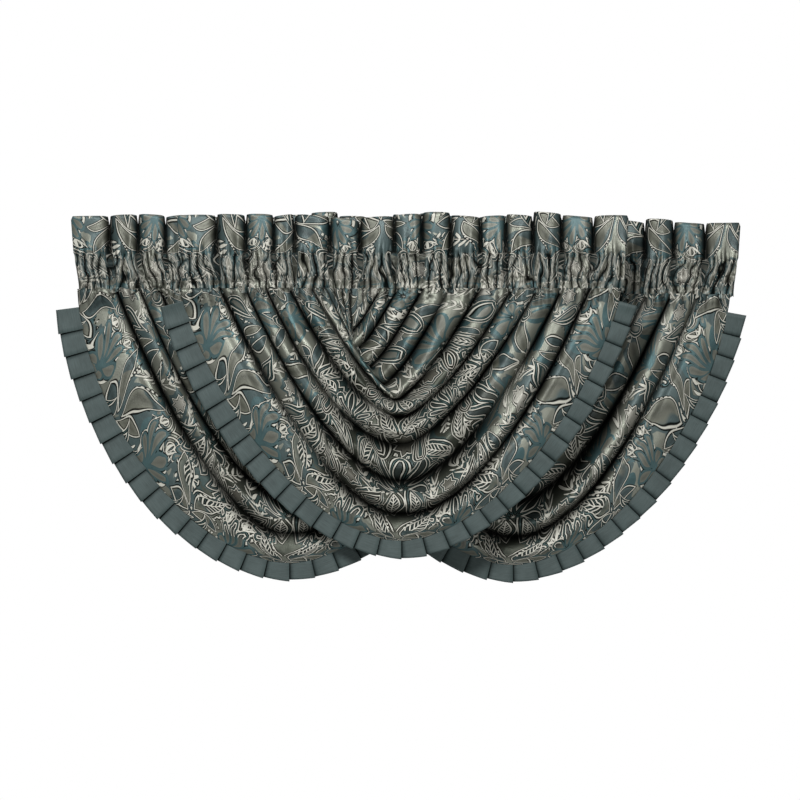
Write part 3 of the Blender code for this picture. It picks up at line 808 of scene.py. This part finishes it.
def headingColumn(valance, x, seamDepth):  # one section: up the back, over the top, down the front
    h = headingSettings
    i, across, start, end = fluteAt(valance, x)
    forward, top = flutes[i][1:]
    left, right = valance["ends"]
    seed = valance["seed"]
    side = abs(2 * across - 1)
    atEnd = (i == 0 and across < 0.5) or (i == len(flutes) - 1 and across > 0.5)
    face = 1 - (0.25 if atEnd else 1.0) * (1 - (1 - side**4) ** 0.6)
    gap = 0.0 if atEnd else smooth((side - 0.80) / 0.2)
    tilt = h["tilt"] * wave(i * 3.3, 0.7, 8.0) * (across - 0.5)
    dip = (0.002 * side**4 + h["cornerDip"] * smooth((side - 0.91) / 0.09)) * (0.4 if atEnd else 1.0)
    crown = top + tilt - dip + h["uneven"] * wave(i * 5.3, across * 0.8, seed)
    worldX = valance["centre"] + x
    narrowing = 1 - (valance["half"] + 0.002) / (right - left) * 2
    phase = worldX / h["scallopPitch"] + 0.8 * wave(worldX * 9, 0.2, seed + 70)
    scallop = h["scallop"] * abs(math.sin(math.pi * phase)) ** 0.6
    points, shades, shifts = [], [], []

    def put(z, y, shade, pull=0.0):
        middle = (start + end) / 2
        shades.append(shade)
        shifts.append(gather(worldX, z, seed)[2] * (1 - smooth((z - h["pinch"]) / 0.014 + 0.5)))
        taper = 1 - narrowing * smooth((h["pinch"] + 0.01 - z) / (h["pinch"] + 0.01 - h["seam"]))
        low = z - valance["lower"] - scallop * (1 - smooth((z - h["seam"]) / 0.022))
        aside = (x + (middle - x) * pull) * taper
        points.append(Vector((valance["centre"] + aside, valance["layer"] + y, low)))

    def wall(z, sign):      # the pocket's wall, sign -1 in front and 1 behind
        share = (z - h["seam"]) / (h["pinch"] - h["seam"])
        belly = max(0.0, math.sin(math.pi * min(1.0, share * 1.02))) ** 0.6
        pinched = 0.0030 + h["bulge"] * belly
        ripple = gather(worldX, z, seed + (0 if sign < 0 else 50))[0] * (0.45 + 0.55 * belly)
        low = smooth(1 - share / 0.25)
        if sign < 0:
            return -mix(pinched + ripple - 0.003 - 0.006 * gap * smooth(share), seamDepth - 0.0015, low)
        return mix(0.8 * pinched + 0.6 * ripple - 0.002, -seamDepth + 0.003, low)

    def header(z, sign):    # one of its layers, or between them at 0
        share = max(0.0, (z - h["pinch"]) / (crown - h["pinch"]))
        grow = 0.30 + 0.70 * share**0.7
        stand = mix(h["tabBack"], -forward, face) * grow
        crease = math.sin(math.pi * (across * (3 + i % 2) + 0.3 * i))
        crease = 0.0030 * (1 - share) ** 1.5 * crease * (1 - side**4)
        puck = math.exp(-share / 0.10) * (gather(worldX, h["pinch"], seed)[0] - 0.005)
        soft = 0.0016 * wave(worldX * 22, z * 16, seed + 20)
        return stand + crease - puck + soft + sign * h["layers"]

    def shadeAt(z):         # painted shade in the pocket's creases, running a little way up into the flutes, in the hollows between flutes and on the flutes' turned-back sides; a painted highlight on the pocket's plump parts
        crease = gather(worldX, min(z, h["pinch"]), seed)[1]
        # painted shade in the hollow between two flutes, low on the pocket
        hollow = 0.7 * gap * smooth((z - h["seam"]) / 0.05)
        if z <= h["pinch"]:
            return max(0.97 * crease, hollow) if max(crease, hollow) > 0.02 else crease
        up = (z - h["pinch"]) / (crown - h["pinch"])
        # painted shade on each flute's sides, where it turns back
        turned = 0.0 if atEnd else 0.95 * smooth((side - 0.55) / 0.42) ** 2
        return max(0.95 * crease * math.exp(-up / 0.12), turned)

    def pocketRow(share, sign):
        z = mix(h["seam"], h["pinch"], share)
        y = mix(wall(z, sign), header(z, sign), smooth((share - 0.88) / 0.12))
        put(z, y, shadeAt(z), h["pull"] * smooth(share) * 0.5)

    def headerRow(share, sign):
        z = mix(h["pinch"], crown, share)
        put(z, header(z, sign), shadeAt(z), h["pull"] * (1 - share) * 0.5 * face)

    pocketSteps, headerSteps = h["backRows"]
    for k in range(pocketSteps + 1):
        pocketRow(k / pocketSteps, 1)
    for k in range(1, headerSteps + 1):
        headerRow(k / headerSteps, 1)
    put(crown + 0.0012, header(crown, 0), 0.0)
    pocketSteps, headerSteps = h["frontRows"]
    for k in range(headerSteps, 0, -1):
        headerRow(k / headerSteps, -1)
    for k in range(pocketSteps, -1, -1):
        pocketRow(k / pocketSteps, -1)
    return points, shades, shifts


def makeHeading(name, valance, panelColumns):
    h = headingSettings
    left, right = valance["ends"]
    edge = sorted((point.x - valance["centre"], valance["layer"] - point.y)
                  for column in (panelColumns[0], panelColumns[-1]) for point in column)

    def seamDepth(x):       # how far forward the panel's top stands at x
        if x <= edge[0][0]:
            return edge[0][1]
        for (x0, d0), (x1, d1) in zip(edge, edge[1:]):
            if x0 <= x <= x1:
                return mix(d0, d1, (x - x0) / max(1e-9, x1 - x0))
        return edge[-1][1]

    columns, shades, shifts, runs = [], [], [], []
    run, rise = h["clothStart"]
    for i in range(h["columns"] + 1):
        x = mix(left, right, i / h["columns"])
        points, shade, shift = headingColumn(valance, x, seamDepth(x))
        columns.append(points)
        shades.append(shade)
        shifts.append(shift)
        if i:
            rows = h["measuredRows"]
            run += sum((columns[i][j] - columns[i - 1][j]).length for j in rows) / len(rows)
        runs.append(run)
    rises = [rise]      # up the back and down the front, the same for all columns
    some = columns[::40]
    for j in range(1, len(columns[0])):
        rises.append(rises[-1] + sum((column[j] - column[j - 1]).length for column in some) / len(some))
    clothUv = []
    for along, shift in zip(runs, shifts):
        clothUv.append([(along + offset, risen) for offset, risen in zip(shift, rises)])
    heading = finishPiece(name + "Heading", layGrid(columns, clothUv, shades, True),
                          (satinJacquard, jacquardReverse), h["thickness"], name + "_heading")


# The pleated edges.
edgeSettings = {
    "pleats": 32,
    "widths": (0.056, 0.055, 0.041, 0.046, 0.042),      # below the hem, from the left end to the right
    "tuck": 0.006,          # how far the strip reaches up behind the hem
    "under": 0.016,         # how much of each pleat is folded in under its neighbour
    "rise": 0.0080,         # how thick a pleat stands
    "flare": 0.0035,        # how much longer a pleat is at its open side
    "foldedIn": -0.45,      # how far forward the cloth folded under lies, in rises
    "firstEdge": 0.35,      # the same for the strip's cut end
    "behind": 0.0024,       # from the panel's hem back to the strip
    "thickness": 0.0007,
    "steps": 9,             # rows down the strip
    "faceSteps": 8,         # columns across a pleat's face
}


def edgeWidth(share):
    widths = edgeSettings["widths"]
    at = share * (len(widths) - 1)
    i = min(int(at), len(widths) - 2)
    return mix(widths[i], widths[i + 1], smooth(at - i))


def makePleatedEdge(name, valance, panelColumns):
    e = edgeSettings
    lowest = panelSettings["seam"] - valance["lower"] - valance["edgeStart"]
    run = [column[0] for column in panelColumns if column[0].z <= lowest]
    reach = [0.0]
    for a, b in zip(run, run[1:]):
        reach.append(reach[-1] + math.hypot(b.x - a.x, b.z - a.z))
    total = reach[-1]

    def hemAt(distance):
        distance = min(total, max(0.0, distance))
        i = 0
        while i < len(reach) - 2 and reach[i + 1] < distance:
            i += 1
        a, b, step = run[i], run[i + 1], reach[i + 1] - reach[i]
        return a.lerp(b, (distance - reach[i]) / step), Vector(((b.z - a.z) / step, 0, -(b.x - a.x) / step))

    pitch = total / e["pleats"]
    stations = []   # along the hem, how far the fold stands forward, how far along its pleat, which pleat
    for k in range(e["pleats"]):
        if k:
            stations.append((k * pitch - e["under"], e["foldedIn"], 0.0, k))
            stations.append((k * pitch - 0.002, e["foldedIn"], 0.0, k))
        for n in range(e["faceSteps"] + 1):
            share = (n / e["faceSteps"]) ** 1.6
            sunk = e["foldedIn"] + 0.8 * (1 - math.exp(-8 * share)) if k else e["firstEdge"]
            stations.append((mix(k, k + 1, share) * pitch, sunk + 0.65 * share, share, k))
        end = (k + 1) * pitch
        if k < e["pleats"] - 1:     # the fold's front edge, and the cloth turned back under it
            stations.append((end + 0.0004, 0.93, 0.97, k))
            stations.append((end - 0.002, 0.80, 0.9, k))
            stations.append((mix(end, end - e["under"], 0.6), 0.15, 0.6, k))
            stations.append((end - e["under"] - 0.0004, -0.35, 0.2, k))
    columns, clothUv, along = [], [], 0.0
    for n, (distance, forward, share, k) in enumerate(stations):
        point, out = hemAt(distance)
        jitter = wave(k * 2.7, 0.5, valance["seed"])
        rise = e["rise"] * (1 + 0.35 * jitter)
        width = edgeWidth(min(1.0, max(0.0, distance / total)))
        length = width + e["flare"] * (share**1.5 + 0.4 * jitter)
        column = []
        for step in range(e["steps"] + 1):
            down = step / e["steps"]
            base = point + out * mix(-e["tuck"], length, down)
            curl = 0.0012 * down**3
            puff = 0.0006 * math.sin(math.pi * down) * wave(distance * 40, step * 0.8, valance["seed"] + 7)
            base.y = point.y + e["behind"] - forward * mix(0.35, 1.0, down) * rise - curl - puff
            column.append(base)
        if n:
            along += (column[5] - columns[-1][5]).length
        columns.append(column)
        strip = length + e["tuck"]
        clothUv.append([(along, step / e["steps"] * strip) for step in range(e["steps"] + 1)])
    # painted shade in the groove where each pleat's cloth is folded in under its neighbour
    grooveShades = [0.95 * (1 - smooth((station[1] + 0.40) / 0.75)) for station in stations]
    shades = [[depth] * (e["steps"] + 1) for depth in grooveShades]
    edge = finishPiece(name + "PleatedEdge", layGrid(columns, clothUv, shades, True), (ribbedFaille,),
                       e["thickness"], name + "_pleated_edge")
    area = sum(face.area for face in edge.data.polygons)
    print(name, "pleated edge", len(edge.data.polygons), "faces", round(area, 3), "m2,",
          round(along, 3), "m long")


for name, valance in valances.items():
    panelColumns = makePanel(name, valance)
    makeHeading(name, valance, panelColumns)
    makePleatedEdge(name, valance, panelColumns)
print("cloth hung")

# Room, light and camera.
studio = {
    "metresPerPixel": 0.00242,
    "aim": (-0.0024, 0.05, -0.318),
    "lens": 350.0,
    "sensor": 36.0,
    "floor": -1.75,
    "floorRadius": 3.4,
    "floorPaint": "#9b9b99",
    "key": {"at": (-1.0, -4.3, 1.9), "size": 1.3, "power": 185},
    "fill": {"at": (1.3, -4.2, -1.0), "size": 1.4, "power": 42},
    "top": {"at": (0.0, -0.6, 2.6), "size": 1.6, "power": 14},
    "back": {"at": (0.6, 4.0, 1.5), "size": 2.6, "power": 120},
    "ambient": 0.05,
}


def makeStudio():
    bm = bmesh.new()
    bmesh.ops.create_circle(bm, cap_ends=True, segments=96, radius=studio["floorRadius"])
    bmesh.ops.translate(bm, verts=bm.verts, vec=(0, 0, studio["floor"]))
    mesh = bpy.data.meshes.new("studioFloor")
    bm.to_mesh(mesh)
    bm.free()
    floor = bpy.data.objects.new("studioFloor", mesh)
    bpy.context.scene.collection.objects.link(floor)
    paint, paintShader = newMaterial("mattPaint")[::2]
    paintShader.inputs["Base Color"].default_value = linear(studio["floorPaint"])
    paintShader.inputs["Roughness"].default_value = 0.9
    mesh.materials.append(paint)
    aim = Vector(studio["aim"])
    for name in ("key", "fill", "top", "back"):
        s = studio[name]
        lamp = bpy.data.lights.new(name + "Light", "AREA")
        lamp.shape = "DISK"
        lamp.size = s["size"]
        lamp.energy = s["power"]
        holder = bpy.data.objects.new(name + "Light", lamp)
        holder.location = s["at"]
        holder.rotation_euler = (aim - Vector(s["at"])).to_track_quat("-Z", "Y").to_euler()
        bpy.context.scene.collection.objects.link(holder)
    world = bpy.data.worlds.new("studioRoom")
    bpy.context.scene.world = world
    world.use_nodes = True
    tree = world.node_tree
    background = tree.nodes["Background"]
    background.inputs["Color"].default_value = linear("#ffffff")
    path = addNode(tree, "ShaderNodeLightPath")
    level = remap(tree, path.outputs["Is Camera Ray"], 0.0, 1.0, studio["ambient"], 1.0)
    tree.links.new(level.outputs[0], background.inputs["Strength"])
    camera = bpy.data.objects.new("camera", bpy.data.cameras.new("camera"))
    camera.data.lens = studio["lens"]
    camera.data.sensor_width = studio["sensor"]
    camera.data.clip_end = 60.0
    distance = 800 * studio["metresPerPixel"] * studio["lens"] / studio["sensor"]
    camera.location = aim - Vector((0, distance, 0))
    camera.rotation_euler = (math.pi / 2, 0, 0)
    bpy.context.scene.collection.objects.link(camera)
    bpy.context.scene.camera = camera
    bpy.context.scene.view_settings.view_transform = "Standard"


makeStudio()
print("studio set")
